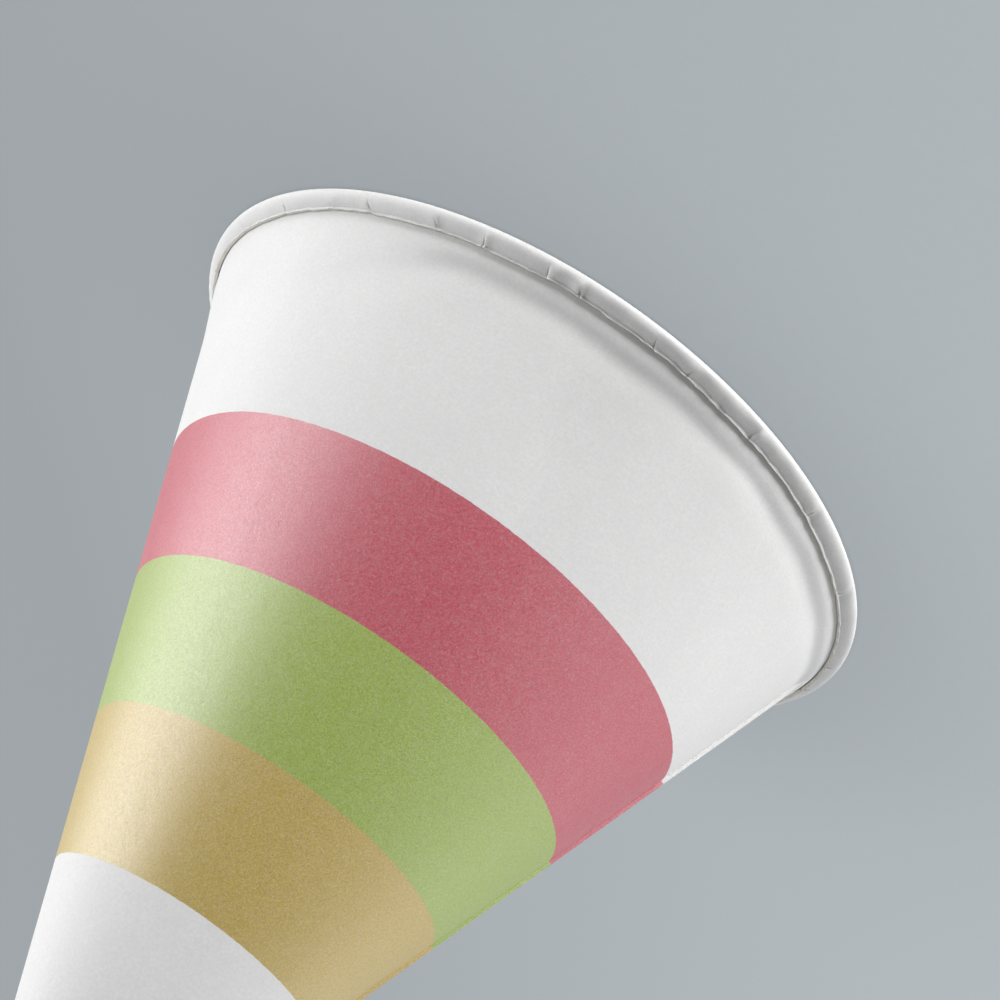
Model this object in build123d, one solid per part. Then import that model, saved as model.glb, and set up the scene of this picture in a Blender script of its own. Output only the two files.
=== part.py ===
"""Paper cone cup: one sheet wound into a cone, lapped down one side, its mouth rolled out into a pleated hem.

The cup stands on its rim with the point up. The origin is the centre of the ring that it stands on,
+Z is the axis of the cone, and lengths are millimetres.
"""
from build123d import *
import math
import os

# The sheet
PAPER_THICKNESS = 0.3

# The cone's outer face, drawn on to a sharp point and down to the plane that the rim stands on
CONE_RADIUS = 34.71
CONE_HEIGHT = 92.5
TIP_RADIUS = 1.0

# Above the hem the wall steps out a little, pressed by the rolling die; places are measured up the wall from the rim
FLARE_RISE = 0.3
FLARE_FOOT = 2.5
FLARE_TOP = 4.0

# The hem: two bends with a flat crown pressed between them, then a flap that curls back to the wall
BEND_RADIUS = 0.5
CROWN_WIDTH = 0.35
FLAP_LENGTH = 1.65
FLAP_GAP = 0.2
FLAP_LEAN_SHARES = (0.5, 1.5)

# Bent paper creases into flat strips, each turned about this far from the last
CREASE_DEGREES = 24.0

# The side seam, where one end of the sheet laps over the other
LAP_RISE = 0.3
LAP_FOOT = 1.2
LAP_DEGREES = 20.0
LAP_TURN_SHARE = 0.511

# Each flap between two pleats: its start round the rim, its gap to the wall at the cut edge, its length
FLAP_SHARES = (
    (0.003, 1.8, 1.00),
    (0.037, 1.3, 0.95),
    (0.071, 0.9, 1.03),
    (0.094, 1.3, 0.96),
    (0.128, 0.6, 1.04),
    (0.163, 1.1, 0.94),
    (0.186, 0.7, 1.00),
    (0.222, 1.2, 0.96),
    (0.257, 0.5, 1.05),
    (0.283, 1.0, 0.97),
    (0.321, 0.6, 1.02),
    (0.352, 1.3, 0.94),
    (0.388, 0.8, 1.00),
    (0.419, 1.2, 0.95),
    (0.454, 1.2, 1.03),
    (0.492, 1.4, 0.98),
    (0.522, 0.9, 0.94),
    (0.588, 0.5, 1.03),
    (0.638, 1.0, 0.96),
    (0.682, 0.6, 1.04),
    (0.717, 1.1, 0.95),
    (0.736, 0.7, 1.00),
    (0.770, 1.2, 0.94),
    (0.784, 0.6, 1.04),
    (0.812, 1.0, 0.96),
    (0.835, 0.5, 1.02),
    (0.868, 0.9, 0.94),
    (0.889, 0.4, 1.00),
    (0.919, 0.8, 1.04),
    (0.956, 1.6, 0.97),
)

# Worked out from the sizes above
TURN_DEGREES = 360.0
CONE_ANGLE = math.atan2(CONE_RADIUS, CONE_HEIGHT)
CONE_DEGREES = math.degrees(CONE_ANGLE)
WALL_NORMAL = Vector(math.cos(CONE_ANGLE), math.sin(CONE_ANGLE))
WALL_RUN = Vector(-math.sin(CONE_ANGLE), math.cos(CONE_ANGLE))
APEX = Vector(0, CONE_HEIGHT)
TIP_CENTRE = APEX - Vector(0, TIP_RADIUS / math.sin(CONE_ANGLE))

# Across the half section, the first bend turns about a point one inner bend radius out from the flared wall
INNER_BEND_RADIUS = BEND_RADIUS - PAPER_THICKNESS
WALL_BEND_REACH = INNER_BEND_RADIUS + FLARE_RISE + math.sin(CONE_ANGLE) * (CONE_HEIGHT - BEND_RADIUS)
WALL_BEND = Vector(WALL_BEND_REACH / math.cos(CONE_ANGLE), BEND_RADIUS)
FLAP_BEND = WALL_BEND + Vector(CROWN_WIDTH, 0)
HEM_GAP = 2 * INNER_BEND_RADIUS + CROWN_WIDTH * math.cos(CONE_ANGLE)


def section_face(edges):
    """A face on the cup's half section, with X outwards and Y up the axis."""
    return Plane.XZ * make_face(Curve() + edges)


def outline(corners):
    """Straight edges round a list of corners."""
    return [Line(a, b) for a, b in zip(corners, corners[1:] + corners[:1])]


def creased_bend(centre, radius, start_degrees, sweep_degrees):
    """Corners of the flat strips round one face of a bend."""
    strips = math.ceil(sweep_degrees / CREASE_DEGREES)
    angles = [start_degrees + sweep_degrees * i / strips for i in range(strips + 1)]
    return [centre + Vector(radius, 0).rotate(Axis.Z, angle) for angle in angles]


def hem_corners(radius):
    """Corners of one face of the sheet round both bends, from the wall to where the flap starts."""
    wall_bend = creased_bend(WALL_BEND, radius, CONE_DEGREES - 180, 90 - CONE_DEGREES)
    flap_bend = creased_bend(FLAP_BEND, radius, -90, 90 + CONE_DEGREES)
    return wall_bend + flap_bend


def flare_corners(depth):
    """Corners of the step in the wall, on the face that lies so deep in the sheet."""
    rim = Vector(CONE_RADIUS, 0) - WALL_NORMAL * depth
    return [rim + WALL_RUN * FLARE_TOP, rim + WALL_RUN * FLARE_FOOT + WALL_NORMAL * FLARE_RISE]


def wall_section():
    """The sheet from the solid point down the wall and round both bends, to where the flap starts."""
    tip = CenterArc(TIP_CENTRE, TIP_RADIUS, CONE_DEGREES, 90 - CONE_DEGREES)
    inside_head = TIP_CENTRE + WALL_NORMAL * (TIP_RADIUS - PAPER_THICKNESS)
    inside = [tip @ 1, Vector(0, inside_head.Y), inside_head] + flare_corners(PAPER_THICKNESS)
    outside = [tip @ 0] + flare_corners(0)
    corners = inside + hem_corners(BEND_RADIUS) + hem_corners(INNER_BEND_RADIUS)[::-1] + outside[::-1]
    return section_face([tip] + [Line(a, b) for a, b in zip(corners, corners[1:])])


def flap(start_share, end_share, gap_share, length_share):
    """One length of the turned-back edge between two pleats, curling in until it nearly meets the wall."""
    length = FLAP_LENGTH * length_share
    lean = math.asin((HEM_GAP - FLAP_GAP * gap_share) / length)
    run = [Vector(0, 0)]
    for share in FLAP_LEAN_SHARES:
        strip = WALL_RUN.rotate(Axis.Z, math.degrees(lean * share)) * length / len(FLAP_LEAN_SHARES)
        run.append(run[-1] + strip)
    outside = [FLAP_BEND + WALL_NORMAL * BEND_RADIUS + place for place in run]
    inside = [FLAP_BEND + WALL_NORMAL * INNER_BEND_RADIUS + place for place in run]
    section = section_face(outline(outside + inside[::-1]))
    sweep = revolve(section, Axis.Z, TURN_DEGREES * (end_share - start_share))
    return Rot(0, 0, TURN_DEGREES * start_share) * sweep


def side_lap():
    """The upper ply of the seam: a slice of the cone tipped outwards about its point, so that it fades in."""
    slope = math.tan(CONE_ANGLE)
    rim_slant = CONE_HEIGHT / math.cos(CONE_ANGLE)
    tip_degrees = math.degrees(LAP_RISE / (rim_slant * math.sin(math.radians(LAP_DEGREES))))
    head = Vector((CONE_HEIGHT - TIP_CENTRE.Y) * slope, TIP_CENTRE.Y)
    foot = Vector((CONE_HEIGHT - LAP_FOOT) * slope, LAP_FOOT)
    ply_section = section_face(outline([TIP_CENTRE, head, foot, Vector(0, LAP_FOOT)]))
    core_drop = Vector(0, PAPER_THICKNESS / 2 / math.sin(CONE_ANGLE))
    core_corners = [corner - core_drop for corner in (APEX, Vector(CONE_RADIUS, 0), Vector(0, 0))]
    tipping_axis = Axis((0, 0, CONE_HEIGHT), Vector(1, 0, 0).rotate(Axis.Z, -LAP_DEGREES))
    ply = Rot(0, 0, -LAP_DEGREES) * revolve(ply_section, Axis.Z, LAP_DEGREES)
    ply = ply.rotate(tipping_axis, tip_degrees)
    ply -= revolve(section_face(outline(core_corners)), Axis.Z)
    return Rot(0, 0, TURN_DEGREES * LAP_TURN_SHARE) * ply


def cone_cup():
    """The whole cup: the wound wall and its bends, the seam's upper ply and the pleated flaps."""
    starts = [row[0] for row in FLAP_SHARES]
    ends = starts[1:] + [starts[0] + 1]
    flaps = [flap(start, end, gap, length) for (start, gap, length), end in zip(FLAP_SHARES, ends)]
    return revolve(wall_section(), Axis.Z) + [side_lap()] + flaps


os.makedirs("parts", exist_ok=True)
export_step(cone_cup(), "parts/cone_cup.step")
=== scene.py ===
"""Looks of a paper cone cup: the wound sheet with its pleated rim and printed bands, and its plain stage."""
import math

import bpy
import numpy as np
from mathutils import Matrix, Vector


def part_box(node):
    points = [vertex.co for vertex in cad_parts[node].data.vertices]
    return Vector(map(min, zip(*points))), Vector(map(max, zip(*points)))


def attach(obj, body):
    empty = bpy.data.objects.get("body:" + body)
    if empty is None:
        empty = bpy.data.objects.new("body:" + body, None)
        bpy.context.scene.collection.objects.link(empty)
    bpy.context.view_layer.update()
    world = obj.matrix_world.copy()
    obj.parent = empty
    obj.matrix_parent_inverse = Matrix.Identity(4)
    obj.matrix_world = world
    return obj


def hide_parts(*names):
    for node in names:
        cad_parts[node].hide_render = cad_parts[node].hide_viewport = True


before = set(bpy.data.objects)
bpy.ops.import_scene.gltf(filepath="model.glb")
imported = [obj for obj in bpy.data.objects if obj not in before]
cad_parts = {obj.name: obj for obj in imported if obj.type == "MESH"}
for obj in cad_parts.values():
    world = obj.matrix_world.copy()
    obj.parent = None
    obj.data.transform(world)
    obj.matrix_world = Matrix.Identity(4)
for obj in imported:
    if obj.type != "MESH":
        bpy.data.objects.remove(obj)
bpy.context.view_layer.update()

bl_info = {
    "name": "Paper Cone Cup",
    "version": (1, 0, 0),
    "blender": (4, 5, 0),
    "location": "View3D > Sidebar > Cone Cup",
    "description": "Winds a printed paper cone cup with a rolled rim and sets a plain studio stage",
    "category": "Object",
}

CUP_NODE = "cone_cup"
BODY = "root"
TURN = 2 * math.pi

# Material slots of the sheet: its printed face, its bare paper and its cut edge
PRINTED, PLAIN, CUT = range(3)

# The frame gives the cup's height and the half width of its rim, in metres
CUP_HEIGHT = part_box(CUP_NODE)[1].z
RIM_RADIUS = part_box(CUP_NODE)[1].x

# Each flap between two pleats: its start round the rim, its gap to the wall at the cut edge, its length,
# and how deep the pleat at its start is creased
FLAP_SHARES = (
    (0.003, 1.8, 1.00, 0.40),
    (0.037, 1.3, 0.95, 0.70),
    (0.071, 0.9, 1.03, 0.30),
    (0.094, 1.3, 0.96, 0.90),
    (0.128, 0.6, 1.04, 0.50),
    (0.163, 1.1, 0.94, 0.30),
    (0.186, 0.7, 1.00, 0.80),
    (0.222, 1.2, 0.96, 0.40),
    (0.257, 0.5, 1.05, 0.60),
    (0.283, 1.0, 0.97, 0.90),
    (0.321, 0.6, 1.02, 0.30),
    (0.352, 1.3, 0.94, 0.70),
    (0.388, 0.8, 1.00, 0.50),
    (0.419, 1.2, 0.95, 0.80),
    (0.454, 1.2, 1.03, 0.40),
    (0.492, 1.4, 0.98, 0.60),
    (0.522, 0.9, 0.94, 0.50),
    (0.588, 0.5, 1.03, 0.60),
    (0.638, 1.0, 0.96, 0.50),
    (0.682, 0.6, 1.04, 0.60),
    (0.717, 1.1, 0.95, 0.70),
    (0.736, 0.7, 1.00, 0.70),
    (0.770, 1.2, 0.94, 1.00),
    (0.784, 0.6, 1.04, 0.55),
    (0.812, 1.0, 0.96, 0.90),
    (0.835, 0.5, 1.02, 0.45),
    (0.868, 0.9, 0.94, 0.80),
    (0.889, 0.4, 1.00, 0.25),
    (0.919, 0.8, 1.04, 1.00),
    (0.956, 1.6, 0.97, 0.50),
)

# Soft dents in the wall: place round the rim, place down the slant, then shares of the usual width and depth
DENT_SHARES = (
    (0.738, 0.875, 1.00, 1.00),
    (0.672, 0.965, 0.70, -0.80),
    (0.805, 0.930, 0.90, 0.60),
    (0.600, 0.900, 1.10, 0.70),
    (0.880, 0.760, 1.20, -0.40),
    (0.230, 0.880, 1.10, 0.80),
    (0.380, 0.930, 0.80, -0.60),
    (0.080, 0.850, 1.20, 0.50),
)

# Rows of the sheet's mesh: shares of the flap from bend to cut, inside and outside, then counts of rows
# down the wall, finer over a length above the hem, and the angle past which an edge is shown sharp
INNER_FLAP_ROWS = (0.25, 0.5, 0.75, 1.0)
OUTER_FLAP_ROWS = (0.96, 0.9, 0.86, 0.72, 0.58, 0.44, 0.3, 0.15)
COARSE_WALL_ROWS = 56
FINE_WALL_ROWS = 32
FINE_WALL = 0.009
SHARP_ANGLE = math.radians(40)

# How the flap curls: it eases in over the ramp and gains towards the cut, where a lip turns out again.
# Places are shares of its length, and turns are shares of its lean
CURL_STEPS = 20
CURL_RAMP = 0.16
CURL_START = 0.40
CURL_GAIN = 2.00
LIP_START = 0.87
LIP_TURN = -0.6
LEAN_SINE_LIMIT = 0.95

# Shares of the flap's length: over which a groove deepens, and past which the crumple stays the same
GROOVE_FADE = 0.3
CRUMPLE_HOLD = 0.8

# The wall's slow waves and its dents, which are longer down the wall, and the length where both fade out
WALL_WAVE = 0.00004
DENT_SQUEEZE = 0.6
HEM_FADE = 0.002

# The step above the hem: its wander, where it is long and soft about an angle in radians, and its furrow
FLARE_WANDER = 0.00009
SOFT_ANGLE = 0.17
SOFT_COSINE = 0.26
SOFT_SPAN = 0.45
SOFT_LENGTHS = 4
FURROW_SHARE = 0.3
FURROW_WIDTH = 0.75

# Lengths over which the seam's ply rises from the tip and sinks at the hem
LAP_TIP_FADE = 0.012
LAP_HEM_FADE = 0.0015

# How far the edge of a printed band wanders, and how soft it is
INK_WANDER = 0.00003
INK_SOFTNESS = 0.00003

# The floor: half its width, which way and how far its painted shade darkens it, and how far its painted
# shadow beside the cup reaches
FLOOR_REACH = CUP_HEIGHT * 40
FLOOR_PAINTED_SHADE_WAY = (1.0, 0.31, 0.0)
FLOOR_PAINTED_SHADE_REACH = RIM_RADIUS * 2
FLOOR_PAINTED_SHADOW_REACH = 0.03

# The sky: its colour, which way it is dimmer, and the share of that way at which it is dimmest
SKY_COLOUR = (0.98, 0.99, 1.0, 1.0)
SKY_DIM_WAY = (0.0, -0.75, 0.66)
SKY_DIM_END = 0.7

# The point that the lamps aim at
LAMP_AIM = (0, 0, CUP_HEIGHT * 0.4)

# Each soft lamp: its place, its size and the setting that gives its power. Two are under the floor
LAMPS = {
    "key_lamp": ((2.344, 0.124, 0.535), 2.80, "key_power"),
    "fill_lamp": ((-0.364, -0.339, -0.300), 0.35, "fill_power"),
    "front_lamp": ((0.271, -0.387, -0.333), 0.30, "front_power"),
}


class CupShapeSettings(bpy.types.PropertyGroup):
    """Sizes of the sheet and of its rolled rim."""

    paper_thickness: bpy.props.FloatProperty(
        name="Paper thickness", description="Thickness of the sheet",
        default=0.0003, min=0.0001, precision=5, unit="LENGTH",
    )
    half_angle: bpy.props.FloatProperty(
        name="Half angle", description="Angle between the axis and the wall",
        default=math.radians(20.5683), min=0.1, max=1.0, subtype="ANGLE",
    )
    tip_radius: bpy.props.FloatProperty(
        name="Tip radius", description="Outside radius of the rounded point",
        default=0.001, min=0.0005, precision=5, unit="LENGTH",
    )
    flare_rise: bpy.props.FloatProperty(
        name="Flare rise", description="Step that the wall takes outwards above the hem",
        default=0.0003, min=0.0, precision=5, unit="LENGTH",
    )
    flare_foot: bpy.props.FloatProperty(
        name="Flare foot", description="Where the step ends, measured up the wall from the rim",
        default=0.0025, min=0.0, precision=5, unit="LENGTH",
    )
    flare_top: bpy.props.FloatProperty(
        name="Flare top", description="Where the step starts, measured up the wall from the rim",
        default=0.0040, min=0.0, precision=5, unit="LENGTH",
    )
    bend_radius: bpy.props.FloatProperty(
        name="Bend radius", description="Outside radius of the two bends of the hem",
        default=0.0005, min=0.00035, precision=5, unit="LENGTH",
    )
    crown_width: bpy.props.FloatProperty(
        name="Crown width", description="Flat ring pressed between the two bends",
        default=0.00035, min=0.0, precision=5, unit="LENGTH",
    )
    flap_length: bpy.props.FloatProperty(
        name="Flap length", description="Turned-back edge of the sheet, from the bend to the cut",
        default=0.00165, min=0.0005, precision=5, unit="LENGTH",
    )
    flap_gap: bpy.props.FloatProperty(
        name="Flap gap", description="Usual gap between the cut edge and the wall",
        default=0.00003, min=0.0, precision=5, unit="LENGTH",
    )
    pleat_lift: bpy.props.FloatProperty(
        name="Pleat lift", description="How far one flap rises over the next where they meet",
        default=0.00004, min=0.0, precision=5, unit="LENGTH",
    )
    pleat_reach: bpy.props.FloatProperty(
        name="Pleat reach", description="How far along a flap its pleat lifts it",
        default=0.0012, min=0.0001, precision=5, unit="LENGTH",
    )
    pleat_width: bpy.props.FloatProperty(
        name="Pleat width", description="Half the width of the groove at a pleat",
        default=0.00011, min=0.00001, precision=5, unit="LENGTH",
    )
    pleat_depth: bpy.props.FloatProperty(
        name="Pleat depth", description="Depth of the groove at a pleat",
        default=0.00019, min=0.0, max=0.00028, precision=5, unit="LENGTH",
    )
    pleat_skew: bpy.props.FloatProperty(
        name="Pleat skew", description="How far a pleat slants along the rim on its way to the cut edge",
        default=0.00050, precision=5, unit="LENGTH",
    )
    crumple: bpy.props.FloatProperty(
        name="Crumple", description="Small unevenness of the flaps",
        default=0.00005, min=0.0, precision=6, unit="LENGTH",
    )
    lap_turn_share: bpy.props.FloatProperty(
        name="Seam place", description="Where the seam's edge lies, as a share of a turn",
        default=0.511, min=0.0, max=1.0, subtype="FACTOR",
    )
    lap_angle: bpy.props.FloatProperty(
        name="Seam fade", description="Angle over which the upper ply sinks into the wall",
        default=math.radians(20.0), min=0.05, max=1.5, subtype="ANGLE",
    )
    dent_size: bpy.props.FloatProperty(
        name="Dent size", description="Usual width of a soft dent in the wall",
        default=0.005, min=0.001, precision=4, unit="LENGTH",
    )
    dent_depth: bpy.props.FloatProperty(
        name="Dent depth", description="Usual depth of a soft dent in the wall",
        default=0.00026, min=0.0, precision=5, unit="LENGTH",
    )


class CupPrintSettings(bpy.types.PropertyGroup):
    """Colours of the paper and its printed bands."""

    paper_colour: bpy.props.FloatVectorProperty(
        name="Paper", description="Bare white paper",
        default=(0.82, 0.82, 0.81), size=3, min=0.0, max=1.0, subtype="COLOR",
    )
    cut_colour: bpy.props.FloatVectorProperty(
        name="Cut edge", description="Raw core of the paper where it is cut",
        default=(0.85, 0.82, 0.75), size=3, min=0.0, max=1.0, subtype="COLOR",
    )
    gold_colour: bpy.props.FloatVectorProperty(
        name="Gold band", description="Ink of the band next to the tip",
        default=(0.47, 0.325, 0.034), size=3, min=0.0, max=1.0, subtype="COLOR",
    )
    green_colour: bpy.props.FloatVectorProperty(
        name="Green band", description="Ink of the middle band",
        default=(0.28, 0.385, 0.018), size=3, min=0.0, max=1.0, subtype="COLOR",
    )
    rose_colour: bpy.props.FloatVectorProperty(
        name="Rose band", description="Ink of the band next to the rim",
        default=(0.48, 0.018, 0.052), size=3, min=0.0, max=1.0, subtype="COLOR",
    )
    first_band: bpy.props.FloatProperty(
        name="First band", description="Distance from the point of the cone to the first band",
        default=0.0377, min=0.0, precision=4, unit="LENGTH",
    )
    band_width: bpy.props.FloatProperty(
        name="Band width", description="Width of each band down the wall",
        default=0.01343, min=0.001, precision=5, unit="LENGTH",
    )


class CupStageSettings(bpy.types.PropertyGroup):
    """Floor, light and camera."""

    floor_colour: bpy.props.FloatVectorProperty(
        name="Floor", description="Pale floor",
        default=(0.46, 0.50, 0.525), size=3, min=0.0, max=1.0, subtype="COLOR",
    )
    sky_strength: bpy.props.FloatProperty(
        name="Sky", description="Soft light from the sides, the back and below",
        default=1.12, min=0.0, max=5.0,
    )
    front_share: bpy.props.FloatProperty(
        name="Front share", description="Light from the front and above, as a share of that from the sides",
        default=0.12, min=0.0, max=1.0, subtype="FACTOR",
    )
    key_power: bpy.props.FloatProperty(
        name="Key lamp", description="Large soft lamp on the +X side", default=57.6, min=0.0, unit="POWER",
    )
    fill_power: bpy.props.FloatProperty(
        name="Fill lamp", description="Soft lamp on the -X side, under the floor, as in a light table",
        default=4.45, min=0.0, unit="POWER",
    )
    front_power: bpy.props.FloatProperty(
        name="Front lamp", description="Soft lamp at the front, under the floor, as in a light table",
        default=2.3, min=0.0, unit="POWER",
    )
    camera_elevation: bpy.props.FloatProperty(
        name="Camera elevation", description="How far the camera looks down",
        default=math.radians(25.75), subtype="ANGLE",
    )
    camera_roll: bpy.props.FloatProperty(
        name="Camera roll", description="Turn of the camera about its own line of sight",
        default=math.radians(-144.785), subtype="ANGLE",
    )
    camera_distance: bpy.props.FloatProperty(
        name="Camera distance", description="From the camera to the point that it aims at",
        default=0.2370, min=0.05, unit="LENGTH",
    )
    camera_aim: bpy.props.FloatVectorProperty(
        name="Camera aim", description="Point near the cup's axis that the camera aims at",
        default=(-0.00024, 0.0, 0.00458), size=3, precision=5, subtype="TRANSLATION",
    )
    focal_length: bpy.props.FloatProperty(
        name="Focal length", description="Lens of the camera, in millimetres on a 36 mm sensor",
        default=89.41, min=10.0, unit="CAMERA",
    )


class Section:
    """Points of the half section, as radius and height, worked out from the shape settings."""

    def __init__(self, shape):
        sine, cosine = math.sin(shape.half_angle), math.cos(shape.half_angle)
        self.angle = shape.half_angle
        self.normal = np.array((cosine, sine))
        self.down = np.array((sine, -cosine))
        self.apex = np.array((0, CUP_HEIGHT + shape.tip_radius * (1 / sine - 1)))
        self.tip = self.apex - np.array((0, shape.tip_radius / sine))
        self.tip_slant = shape.tip_radius / math.tan(shape.half_angle)
        self.rim_slant = self.apex[1] / cosine
        self.inner_radius = shape.bend_radius - shape.paper_thickness
        reach = self.inner_radius + shape.flare_rise + sine * (self.apex[1] - shape.bend_radius)
        self.wall_bend = np.array((reach / cosine, shape.bend_radius))
        self.flap_bend = self.wall_bend + np.array((shape.crown_width, 0))
        self.hem_gap = 2 * self.inner_radius + shape.crown_width * cosine
        self.bend_slant = float((self.wall_bend - self.apex) @ self.down)


class Rim:
    """Angles round the cup, close together at pleats and seam edges, and the state of the flap at each."""

    # Columns of the mesh: even ones, those beside a pleat in shares of its width, and those beside a seam
    EVEN_COLUMNS = 250
    PLEAT_SHARES = (-5.0, -2.0, -0.9, -0.2, 0.2, 0.9, 2.0, 5.0)
    SEAM_OFFSET = 0.00001
    INNER_SEAM_SHARE = 0.7

    # The cut edge: its notch at a groove and its ragged waves in shares of the length, and its least gap
    NOTCH_SHARE = 0.10
    RAGGED_SHARE = 0.03
    RAGGED_WAVES = ((97, 0.0), (41, 1.3))
    TIGHTEST_GAP = 0.000005

    # The pleats: the ridge beside each groove, where the groove starts, and its slant along the rim
    RIDGE_SHARE = 0.45
    RIDGE_PLACE = 2.2
    GROOVE_START = 0.35
    GROOVE_START_SPAN = 0.25
    GROOVE_SCATTER = 0.382
    GROOVE_OFFSET = 0.3
    SKEW_START = 0.4
    SKEW_SPAN = 1.6
    SKEW_SCATTER = 0.754

    # Where round the rim, in shares of a turn, the flap is more crumpled
    CRUMPLED_PLACE = 0.72
    CRUMPLED_WIDTH = 0.06
    CRUMPLED_GAIN = 2

    def __init__(self, shape):
        self.starts = np.array([row[0] for row in FLAP_SHARES]) * TURN
        seam = shape.lap_turn_share * TURN
        self.outer_seam, self.inner_seam = seam, seam - self.INNER_SEAM_SHARE * shape.lap_angle
        self.angles = self.spaced_angles(shape)
        self.set_flaps(shape)

    def spaced_angles(self, shape):
        """Even angles, with those too close to a pleat or seam left out, and the extra ones there."""
        pleat_offsets = np.array(self.PLEAT_SHARES) * shape.pleat_width / RIM_RADIUS
        seam_offsets = np.array((-self.SEAM_OFFSET, self.SEAM_OFFSET)) / RIM_RADIUS
        seams = np.array((self.outer_seam, self.inner_seam))
        extra = np.concatenate((np.add.outer(self.starts, pleat_offsets).ravel(),
                                np.add.outer(seams, seam_offsets).ravel()))
        extra = np.unique(np.mod(extra, TURN))
        even = np.arange(self.EVEN_COLUMNS) * TURN / self.EVEN_COLUMNS
        apart = np.abs(np.subtract.outer(even, extra))
        apart = np.minimum(apart, TURN - apart).min(axis=1)
        return np.sort(np.concatenate((extra, even[apart > 2 * shape.pleat_width / RIM_RADIUS])))

    def set_flaps(self, shape):
        """Gap, length, groove, slant and crumple of the flap at every angle."""
        count = len(self.starts)
        index = (np.searchsorted(self.starts, self.angles, side="right") - 1) % count
        gap_share = np.array([row[1] for row in FLAP_SHARES])[index]
        middles = self.starts + np.mod(np.roll(self.starts, -1) - self.starts, TURN) / 2
        length_share = np.interp(self.angles, middles, [row[2] for row in FLAP_SHARES], period=TURN)
        width = np.mod(self.starts[(index + 1) % count] - self.starts[index], TURN)
        into = np.mod(self.angles - self.starts[index], TURN)
        before, after = (width - into) * RIM_RADIUS, into * RIM_RADIUS
        nearest = np.minimum(before, after)
        chord_sag = RIM_RADIUS * (1 - np.cos(width / 2) / np.cos(into - width / 2))
        lift = np.exp(-before / shape.pleat_reach) - np.exp(-after / shape.pleat_reach)
        gap = shape.flap_gap * gap_share - chord_sag + shape.pleat_lift * lift
        self.gap = np.maximum(gap, self.TIGHTEST_GAP)
        pleat = np.where(before < after, index + 1, index) % count
        ridge = self.RIDGE_SHARE * np.exp(-((before / shape.pleat_width - self.RIDGE_PLACE) ** 2))
        self.groove = np.clip(1 - nearest / shape.pleat_width, 0, 1) - ridge
        self.groove *= np.array([row[3] for row in FLAP_SHARES])[pleat]
        groove_scatter = np.mod(pleat * self.GROOVE_SCATTER + self.GROOVE_OFFSET, 1)
        self.groove_start = self.GROOVE_START + self.GROOVE_START_SPAN * groove_scatter
        first_wave, second_wave = (np.sin(self.angles * waves + lag) for waves, lag in self.RAGGED_WAVES)
        ragged = self.RAGGED_SHARE * first_wave * second_wave
        notch = self.NOTCH_SHARE * np.maximum(self.groove, 0)
        self.length = shape.flap_length * (length_share + ragged) * (1 - notch)
        skew_scatter = np.mod(pleat * self.SKEW_SCATTER, 1)
        pleat_skew = shape.pleat_skew * (self.SKEW_START - self.SKEW_SPAN * skew_scatter)
        self.skew = pleat_skew / RIM_RADIUS * np.exp(-nearest / shape.pleat_reach)
        from_crumpled = (self.angles / TURN - self.CRUMPLED_PLACE) / self.CRUMPLED_WIDTH
        more = 1 + self.CRUMPLED_GAIN * np.exp(-(from_crumpled**2))
        self.crumple = ripple(self.angles, seed=5, lowest=40, highest=170, count=14) * more


def arc_points(centre, radius, start, end, steps):
    """Points along an arc of the half section, both ends included."""
    angles = np.linspace(start, end, steps + 1)
    return [centre + radius * np.array((math.cos(a), math.sin(a))) for a in angles]


def ripple(angles, seed, lowest, highest, count=9):
    """A smooth uneven wave round the cup, about one high, with so many waves to the turn."""
    dice = np.random.default_rng(seed)
    waves = dice.integers(lowest, highest, count)
    phases = dice.uniform(0, TURN, count)
    return sum(np.sin(angles * wave + phase) for wave, phase in zip(waves, phases)) / math.sqrt(count)


def wall_push(shape, section, angles, slant):
    """How far the wall stands proud of the plain cone at every angle, at one distance from the point."""
    push = WALL_WAVE * (slant / section.rim_slant) ** 2 * ripple(angles, seed=11, lowest=2, highest=7)
    for turn_share, slant_share, width_share, depth_share in DENT_SHARES:
        around = (np.mod(angles / TURN - turn_share + 0.5, 1) - 0.5) * TURN * slant * math.sin(section.angle)
        along = DENT_SQUEEZE * (slant - slant_share * section.rim_slant)
        width = shape.dent_size * width_share
        push -= shape.dent_depth * depth_share * np.exp(-(around**2 + along**2) / width**2)
    push *= np.clip((section.rim_slant - shape.flare_foot - slant) / HEM_FADE, 0, 1)
    return push + flare_push(shape, section, angles, slant)


def flare_push(shape, section, angles, slant):
    """The step outwards above the hem, crisp on most of the cup and long and soft towards +X."""
    wander = FLARE_WANDER * ripple(angles, seed=23, lowest=6, highest=30)
    soft = np.clip((np.cos(angles - SOFT_ANGLE) - SOFT_COSINE) / SOFT_SPAN, 0, 1)
    reach = (shape.flare_top - shape.flare_foot) * (1 + SOFT_LENGTHS * soft)
    run = (slant - section.rim_slant + shape.flare_foot + reach + wander) / reach
    climb = np.clip(run, 0, 1)
    furrow = shape.flare_rise * FURROW_SHARE * (1 - soft) * np.exp(-((run / FURROW_WIDTH) ** 2))
    return shape.flare_rise * climb**2 * (3 - 2 * climb) - furrow


def lap_push(shape, section, angles, slant, edge, sign):
    """Rise of the seam's ply: full at its cut edge, sinking into the wall, and pressed flat at the hem."""
    behind = np.mod(sign * (edge - angles), TURN)
    near_tip = min(1.0, slant / LAP_TIP_FADE)
    near_hem = min(1.0, max(0.0, (section.rim_slant - shape.flare_foot - slant) / LAP_HEM_FADE))
    return shape.paper_thickness * near_tip * near_hem * np.clip(1 - behind / shape.lap_angle, 0, 1)


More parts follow.
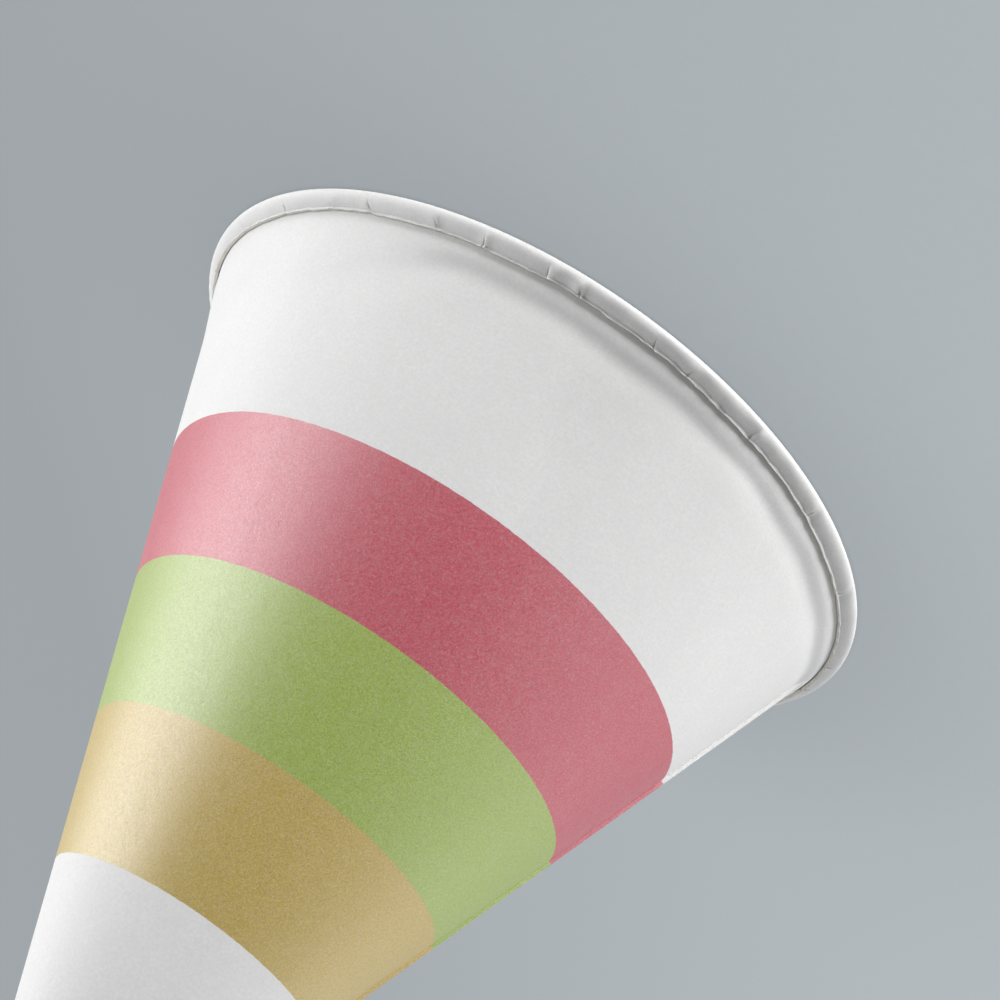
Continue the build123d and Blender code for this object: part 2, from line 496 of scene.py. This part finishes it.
def flap_row(shape, section, rim, radius, share, uneven):
    """Radius, height and shift of one row of the flap, curling in to the wall, with a lip at the cut edge."""
    lean = np.arcsin(np.clip((section.hem_gap - rim.gap) / rim.length, 0, LEAN_SINE_LIMIT))
    steps = np.linspace(0, share, CURL_STEPS + 1)
    middle = (steps[1:] + steps[:-1]) / 2
    curl = np.clip(middle / CURL_RAMP, 0, 1) * (CURL_START + CURL_GAIN * middle)
    turns = section.angle + np.outer(lean, np.where(middle < LIP_START, curl, LIP_TURN))
    run = rim.length * share / CURL_STEPS
    start = section.flap_bend + section.normal * radius
    deepened = np.clip((share - rim.groove_start) / GROOVE_FADE, 0, 1)
    dip = uneven * deepened * shape.pleat_depth * rim.groove
    dip -= uneven * math.sin(math.pi * min(share, CRUMPLE_HOLD)) * shape.crumple * rim.crumple
    last = turns[:, -1]
    out = start[0] - run * np.sin(turns).sum(axis=1) - dip * np.cos(last)
    high = start[1] + run * np.cos(turns).sum(axis=1) - dip * np.sin(last)
    return out, high, rim.skew * share**2


def wall_slants(first, last):
    """Distances from the point down the wall, closer together near the rim."""
    coarse = np.linspace(first, last - FINE_WALL, COARSE_WALL_ROWS)
    return np.concatenate((coarse, np.linspace(last - FINE_WALL, last, FINE_WALL_ROWS + 1)[1:]))


def bend_points(section, radius, wall_steps, flap_steps):
    """Points of one face of the sheet round both bends of the hem."""
    wall_start, crown = section.angle - math.pi, -math.pi / 2
    points = arc_points(section.wall_bend, radius, wall_start, crown, wall_steps)
    return points + arc_points(section.flap_bend, radius, crown, section.angle, flap_steps)


def sheet_rows(shape, section, rim):
    """The closed section of the sheet from tip to tip, as rows of (surface, radii, heights, angle shifts)."""
    flat = np.zeros_like(rim.angles)
    rows = []

    def add(surface, point, push=0.0):
        rows.append((surface, point[0] + push * section.normal[0] + flat,
                     point[1] + push * section.normal[1] + flat, flat))

    for point in arc_points(section.tip, shape.tip_radius, math.pi / 2, section.angle, steps=6)[1:]:
        add(PRINTED, point)
    slants = wall_slants(section.tip_slant, section.bend_slant)
    for slant in slants[1:]:
        push = wall_push(shape, section, rim.angles, slant)
        push += lap_push(shape, section, rim.angles, slant, rim.outer_seam, 1)
        add(PRINTED, section.apex + section.down * slant, push)
    for point in bend_points(section, section.inner_radius, wall_steps=3, flap_steps=4)[1:]:
        add(PLAIN, point)
    for share in INNER_FLAP_ROWS:
        rows.append((PLAIN, *flap_row(shape, section, rim, section.inner_radius, share, 0)))
    rows.append((CUT, *flap_row(shape, section, rim, shape.bend_radius, 1.0, 1)))
    for share in OUTER_FLAP_ROWS:
        rows.append((PLAIN, *flap_row(shape, section, rim, shape.bend_radius, share, 1)))
    for point in bend_points(section, shape.bend_radius, wall_steps=5, flap_steps=9)[::-1]:
        add(PLAIN, point)
    for slant in slants[1::2][::-1]:
        push = wall_push(shape, section, rim.angles, slant) - shape.paper_thickness
        push -= lap_push(shape, section, rim.angles, slant, rim.inner_seam, -1)
        add(PLAIN, section.apex + section.down * slant, push)
    add(PLAIN, section.tip + section.normal * (shape.tip_radius - shape.paper_thickness))
    return rows


def sheet_mesh(shape):
    """The whole cup as one closed mesh, with the printed side, the bare paper and the cut edge marked."""
    section, rim = Section(shape), Rim(shape)
    rows = sheet_rows(shape, section, rim)
    surfaces, radii, heights, shifts = zip(*rows)
    radii, heights, angles = np.array(radii), np.array(heights), rim.angles + np.array(shifts)
    grid = np.stack((radii * np.cos(angles), radii * np.sin(angles), heights), axis=-1)
    row_count, column_count = radii.shape
    poles = [(0, 0, CUP_HEIGHT), (0, 0, heights[-1].mean())]
    first, last = np.arange(column_count), np.arange(column_count) + (row_count - 1) * column_count
    outer_pole, inner_pole = row_count * column_count, row_count * column_count + 1
    faces = [(outer_pole, a, b) for a, b in zip(first, np.roll(first, -1))]
    slots = [PRINTED] * column_count
    for row in range(row_count - 1):
        here, below = first + row * column_count, first + (row + 1) * column_count
        faces += zip(here, below, np.roll(below, -1), np.roll(here, -1))
        slots += [surfaces[row + 1]] * column_count
    faces += [(inner_pole, b, a) for a, b in zip(last, np.roll(last, -1))]
    slots += [PLAIN] * column_count
    mesh = bpy.data.meshes.new("cup_paper")
    points = np.concatenate((grid.reshape(-1, 3), poles)).tolist()
    mesh.from_pydata(points, [], [list(map(int, face)) for face in faces])
    mesh.polygons.foreach_set("material_index", slots)
    mesh.polygons.foreach_set("use_smooth", [True] * len(faces))
    mesh.update()
    mesh.set_sharp_from_angle(angle=SHARP_ANGLE)
    return mesh


class Nodes:
    """Short calls for building one material's node tree."""

    def __init__(self, name):
        self.material = bpy.data.materials.new(name)
        self.material.use_nodes = True
        self.tree = self.material.node_tree
        self.shader = self.tree.nodes["Principled BSDF"]
        self.place = self.add("ShaderNodeTexCoord").outputs["Object"]

    def add(self, kind, **values):
        """A new node with some of its settings."""
        node = self.tree.nodes.new(kind)
        for name, value in values.items():
            setattr(node, name, value)
        return node

    def join(self, source, socket):
        """Links two sockets."""
        self.tree.links.new(source, socket)

    def fill(self, socket, value):
        """Links a socket to another, or sets it to a plain value."""
        if isinstance(value, bpy.types.NodeSocket):
            self.join(value, socket)
        else:
            socket.default_value = value

    def noise(self, scale, detail, roughness=0.5):
        """Noise at so many grains to the metre."""
        node = self.add("ShaderNodeTexNoise")
        node.inputs["Scale"].default_value = scale
        node.inputs["Detail"].default_value = detail
        node.inputs["Roughness"].default_value = roughness
        self.join(self.place, node.inputs["Vector"])
        return node.outputs["Fac"]

    def math(self, operation, first, second):
        """One step of arithmetic on two numbers."""
        node = self.add("ShaderNodeMath", operation=operation)
        self.fill(node.inputs[0], first)
        self.fill(node.inputs[1], second)
        return node.outputs[0]

    def spread(self, value, low, high, to_low, to_high, smooth=False):
        """Maps one range to another, clamped."""
        kind = "SMOOTHSTEP" if smooth else "LINEAR"
        node = self.add("ShaderNodeMapRange", interpolation_type=kind)
        for name, number in zip(("From Min", "From Max", "To Min", "To Max"), (low, high, to_low, to_high)):
            node.inputs[name].default_value = number
        self.join(value, node.inputs["Value"])
        return node.outputs["Result"]

    def mix(self, share, first, second):
        """Mixes two colours."""
        node = self.add("ShaderNodeMix", data_type="RGBA")
        colours = [socket for socket in node.inputs if socket.type == "RGBA"]
        self.fill(node.inputs[0], share)
        for socket, value in zip(colours, (first, second)):
            self.fill(socket, value)
        return next(socket for socket in node.outputs if socket.type == "RGBA")

    def blend(self, share, first, second):
        """Mixes two numbers."""
        node = self.add("ShaderNodeMix", data_type="FLOAT")
        numbers = [socket for socket in node.inputs if socket.type == "VALUE"]
        for socket, value in zip(numbers, (share, first, second)):
            self.fill(socket, value)
        return next(socket for socket in node.outputs if socket.type == "VALUE")

    def bump(self, height, strength, distance):
        """Bump of the shader's normal."""
        node = self.add("ShaderNodeBump")
        node.inputs["Strength"].default_value = strength
        node.inputs["Distance"].default_value = distance
        self.join(height, node.inputs["Height"])
        self.join(node.outputs["Normal"], self.shader.inputs["Normal"])


def with_alpha(colour, shade=1.0):
    """A colour of a settings group as four numbers, darkened or lightened by a factor."""
    return tuple(part * shade for part in colour) + (1.0,)


def paper_grain(nodes):
    """Fine fibre and soft cloud of the bare sheet, and its bump."""
    fibre = nodes.noise(scale=3400, detail=3, roughness=0.7)
    cloud = nodes.noise(scale=420, detail=3, roughness=0.6)
    height = nodes.math("ADD", nodes.math("MULTIPLY", fibre, 0.6), nodes.math("MULTIPLY", cloud, 0.8))
    nodes.bump(height, strength=0.22, distance=0.00009)
    return fibre, cloud


def white_sheet(nodes, colour, fibre, cloud):
    """Colour of the bare sheet, a little greyer in its clouds and along its fibres."""
    white = nodes.mix(nodes.spread(cloud, 0.3, 0.7, 0, 1), with_alpha(colour, 0.95), with_alpha(colour))
    return nodes.mix(nodes.spread(fibre, 0.35, 0.7, 0, 1), with_alpha(colour, 0.90), white)


def bare_paper(colours):
    """White uncoated paper."""
    nodes = Nodes("bare_cup_paper")
    fibre, cloud = paper_grain(nodes)
    white = white_sheet(nodes, colours.paper_colour, fibre, cloud)
    nodes.join(white, nodes.shader.inputs["Base Color"])
    nodes.join(nodes.spread(cloud, 0.3, 0.7, 0.66, 0.80), nodes.shader.inputs["Roughness"])
    nodes.shader.inputs["Specular IOR Level"].default_value = 0.35
    return nodes.material


def cut_paper(colours):
    """Raw core of the sheet along its cut edge."""
    nodes = Nodes("cut_cup_paper")
    fibre, cloud = paper_grain(nodes)
    core = nodes.mix(nodes.spread(fibre, 0.35, 0.7, 0, 1), with_alpha(colours.cut_colour, 0.80),
                     with_alpha(colours.cut_colour))
    nodes.join(core, nodes.shader.inputs["Base Color"])
    nodes.join(nodes.spread(cloud, 0.3, 0.7, 0.85, 0.95), nodes.shader.inputs["Roughness"])
    nodes.shader.inputs["Specular IOR Level"].default_value = 0.2
    return nodes.material


def printed_paper(colours, apex_height):
    """White paper with three bands of ink, set by the distance from the point of the cone."""
    nodes = Nodes("printed_cup_paper")
    fibre, cloud = paper_grain(nodes)
    white = white_sheet(nodes, colours.paper_colour, fibre, cloud)
    reach = nodes.add("ShaderNodeVectorMath", operation="DISTANCE")
    nodes.join(nodes.place, reach.inputs[0])
    reach.inputs[1].default_value = (0, 0, apex_height)
    wander = nodes.spread(nodes.noise(scale=1500, detail=2), 0.2, 0.8, -INK_WANDER, INK_WANDER)
    slant = nodes.math("ADD", reach.outputs["Value"], wander)
    edges = [colours.first_band + colours.band_width * i for i in range(4)]
    past = [nodes.spread(slant, edge - INK_SOFTNESS, edge + INK_SOFTNESS, 0, 1, smooth=True)
            for edge in edges]
    tone = nodes.spread(nodes.noise(scale=7000, detail=2, roughness=0.6), 0.3, 0.7, 0, 1)
    colour = white
    for mask, ink in zip(past, (colours.gold_colour, colours.green_colour, colours.rose_colour)):
        colour = nodes.mix(mask, colour, nodes.mix(tone, with_alpha(ink, 0.78), with_alpha(ink, 1.22)))
    inked = nodes.math("SUBTRACT", past[0], past[3])
    thin = nodes.spread(nodes.noise(scale=6400, detail=3, roughness=0.7), 0.46, 0.76, 0.0, 0.22)
    blotch = nodes.spread(nodes.noise(scale=700, detail=3, roughness=0.6), 0.3, 0.7, 0.0, 0.03)
    colour = nodes.mix(nodes.math("ADD", thin, blotch), colour, white)
    colour = nodes.mix(past[3], colour, white)
    nodes.join(colour, nodes.shader.inputs["Base Color"])
    bare_rough = nodes.spread(cloud, 0.3, 0.7, 0.66, 0.80)
    ink_rough = nodes.spread(fibre, 0.3, 0.7, 0.38, 0.56)
    nodes.join(nodes.blend(inked, bare_rough, ink_rough), nodes.shader.inputs["Roughness"])
    nodes.shader.inputs["IOR"].default_value = 1.95
    nodes.join(nodes.spread(inked, 0, 1, 0.135, 0.95), nodes.shader.inputs["Specular IOR Level"])
    return nodes.material


def pale_floor(colour):
    """Plain floor with a little grain, pale to the camera, painted shade towards +X and painted shadow by the
    cup.
    """
    nodes = Nodes("pale_floor")
    grain = nodes.noise(scale=900, detail=3)
    across = nodes.add("ShaderNodeVectorMath", operation="DOT_PRODUCT")
    nodes.join(nodes.place, across.inputs[0])
    across.inputs[1].default_value = FLOOR_PAINTED_SHADE_WAY
    shade = nodes.mix(nodes.spread(grain, 0.3, 0.7, 0, 1), with_alpha(colour, 0.985), with_alpha(colour))
    # Painted shade: the floor's glow to the camera is darker towards +X
    painted_shade_share = nodes.spread(across.outputs["Value"], -FLOOR_PAINTED_SHADE_REACH, FLOOR_PAINTED_SHADE_REACH, 0, 1)
    shade = nodes.mix(painted_shade_share, shade, with_alpha(colour, 0.68))
    matt = nodes.mix(nodes.spread(grain, 0.3, 0.7, 0, 1), with_alpha(colour, 0.21), with_alpha(colour, 0.22))
    nodes.join(matt, nodes.shader.inputs["Base Color"])
    nodes.join(nodes.spread(grain, 0.3, 0.7, 0.85, 0.95), nodes.shader.inputs["Roughness"])
    nodes.shader.inputs["Specular IOR Level"].default_value = 0.1
    seen = nodes.add("ShaderNodeLightPath").outputs
    pale = nodes.math("MAXIMUM", seen["Is Camera Ray"], seen["Is Glossy Ray"])
    nodes.join(shade, nodes.shader.inputs["Emission Color"])
    # Painted shadow: ambient occlusion dims the floor's glow beside the cup
    beside = nodes.add("ShaderNodeAmbientOcclusion")
    beside.inputs["Distance"].default_value = FLOOR_PAINTED_SHADOW_REACH
    painted_shadow_share = nodes.spread(beside.outputs["AO"], 0, 1, 0.46, 0.85)
    nodes.join(nodes.math("MULTIPLY", pale, painted_shadow_share), nodes.shader.inputs["Emission Strength"])
    return nodes.material


def add_object(name, data):
    """A new object in the scene's own collection."""
    made = bpy.data.objects.new(name, data)
    bpy.context.scene.collection.objects.link(made)
    return made


def add_lamp(name, place, aim, size, power):
    """A square soft lamp."""
    lamp = bpy.data.lights.new(name, "AREA")
    lamp.shape = "SQUARE"
    lamp.size = size
    lamp.energy = power
    made = add_object(name, lamp)
    made.visible_camera = False
    made.location = place
    made.rotation_mode = "QUATERNION"
    made.rotation_quaternion = (Vector(aim) - Vector(place)).to_track_quat("-Z", "Y")


class CUP_OT_wind_cone(bpy.types.Operator):
    """Winds the sheet into the cup, with its hem, seam and print"""

    bl_idname = "cup.wind_cone"
    bl_label = "Wind the paper cone"

    def execute(self, context):
        shape, colours = context.scene.cup_shape, context.scene.cup_print
        mesh = sheet_mesh(shape)
        apex_height = Section(shape).apex[1]
        for material in (printed_paper(colours, apex_height), bare_paper(colours), cut_paper(colours)):
            mesh.materials.append(material)
        cup = add_object("cup_paper", mesh)
        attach(cup, BODY)
        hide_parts(CUP_NODE)
        return {"FINISHED"}


class CUP_OT_set_stage(bpy.types.Operator):
    """Sets the floor, the soft light and the camera"""

    bl_idname = "cup.set_stage"
    bl_label = "Set the stage"

    def execute(self, context):
        scene, stage = context.scene, context.scene.cup_stage
        self.lay_floor(stage)
        self.light(scene, stage)
        self.aim_camera(scene, stage)
        scene.view_settings.view_transform = "Standard"
        return {"FINISHED"}

    def lay_floor(self, stage):
        """Lays a wide floor that the lamps under it shine through."""
        reach = FLOOR_REACH
        corners = [(-reach, -reach, 0), (reach, -reach, 0), (reach, reach, 0), (-reach, reach, 0)]
        mesh = bpy.data.meshes.new("floor")
        mesh.from_pydata(corners, [], [(0, 1, 2, 3)])
        mesh.materials.append(pale_floor(stage.floor_colour))
        floor = add_object("floor", mesh)
        floor.visible_shadow = False

    def light(self, scene, stage):
        """Sets the soft sky, which is dimmer to the front and above, and the lamps."""
        world = bpy.data.worlds.new("even_light")
        world.use_nodes = True
        nodes, links = world.node_tree.nodes, world.node_tree.links
        sky = nodes["Background"]
        sky.inputs["Color"].default_value = SKY_COLOUR
        front = nodes.new("ShaderNodeVectorMath")
        front.operation = "DOT_PRODUCT"
        links.new(nodes.new("ShaderNodeTexCoord").outputs["Generated"], front.inputs[0])
        front.inputs[1].default_value = SKY_DIM_WAY
        fade = nodes.new("ShaderNodeMapRange")
        fade.inputs["From Max"].default_value = SKY_DIM_END
        fade.inputs["To Min"].default_value = stage.sky_strength
        fade.inputs["To Max"].default_value = stage.sky_strength * stage.front_share
        links.new(front.outputs["Value"], fade.inputs["Value"])
        links.new(fade.outputs["Result"], sky.inputs["Strength"])
        scene.world = world
        for name, (place, size, power) in LAMPS.items():
            add_lamp(name, place, LAMP_AIM, size, getattr(stage, power))

    def aim_camera(self, scene, stage):
        """Places the camera at the viewing angle, rolled about its line of sight."""
        lens = bpy.data.cameras.new("camera")
        lens.lens = stage.focal_length
        lens.sensor_width = 36
        lens.clip_start, lens.clip_end = 0.01, 50
        camera = add_object("camera", lens)
        rise, roll = stage.camera_elevation, stage.camera_roll
        back = Vector((0, -math.cos(rise), math.sin(rise)))
        level, upright = Vector((1, 0, 0)), Vector((0, math.sin(rise), math.cos(rise)))
        right = level * math.cos(roll) + upright * math.sin(roll)
        up = upright * math.cos(roll) - level * math.sin(roll)
        turn = Matrix((right, up, back)).transposed().to_4x4()
        place = Vector(stage.camera_aim) + back * stage.camera_distance
        camera.matrix_world = Matrix.Translation(place) @ turn
        scene.camera = camera


class CUP_PT_panel(bpy.types.Panel):
    """Sidebar panel with the cup's settings and steps"""

    bl_idname = "CUP_PT_panel"
    bl_label = "Paper Cone Cup"
    bl_space_type = "VIEW_3D"
    bl_region_type = "UI"
    bl_category = "Cone Cup"

    def draw(self, context):
        scene = context.scene
        for group in (scene.cup_shape, scene.cup_print, scene.cup_stage):
            box = self.layout.box()
            for name in group.__annotations__:
                box.prop(group, name)
        self.layout.operator(CUP_OT_wind_cone.bl_idname)
        self.layout.operator(CUP_OT_set_stage.bl_idname)


CLASSES = (
    CupShapeSettings,
    CupPrintSettings,
    CupStageSettings,
    CUP_OT_wind_cone,
    CUP_OT_set_stage,
    CUP_PT_panel,
)


def register():
    """Registers the classes and hangs the settings on the scene."""
    for cls in CLASSES:
        bpy.utils.register_class(cls)
    bpy.types.Scene.cup_shape = bpy.props.PointerProperty(type=CupShapeSettings)
    bpy.types.Scene.cup_print = bpy.props.PointerProperty(type=CupPrintSettings)
    bpy.types.Scene.cup_stage = bpy.props.PointerProperty(type=CupStageSettings)


def unregister():
    """Takes the settings off the scene and the classes out again."""
    del bpy.types.Scene.cup_stage
    del bpy.types.Scene.cup_print
    del bpy.types.Scene.cup_shape
    for cls in reversed(CLASSES):
        bpy.utils.unregister_class(cls)


def main():
    """Makes the cup and its stage."""
    register()
    bpy.ops.cup.wind_cone()
    bpy.ops.cup.set_stage()


if __name__ == "__main__":
    main()
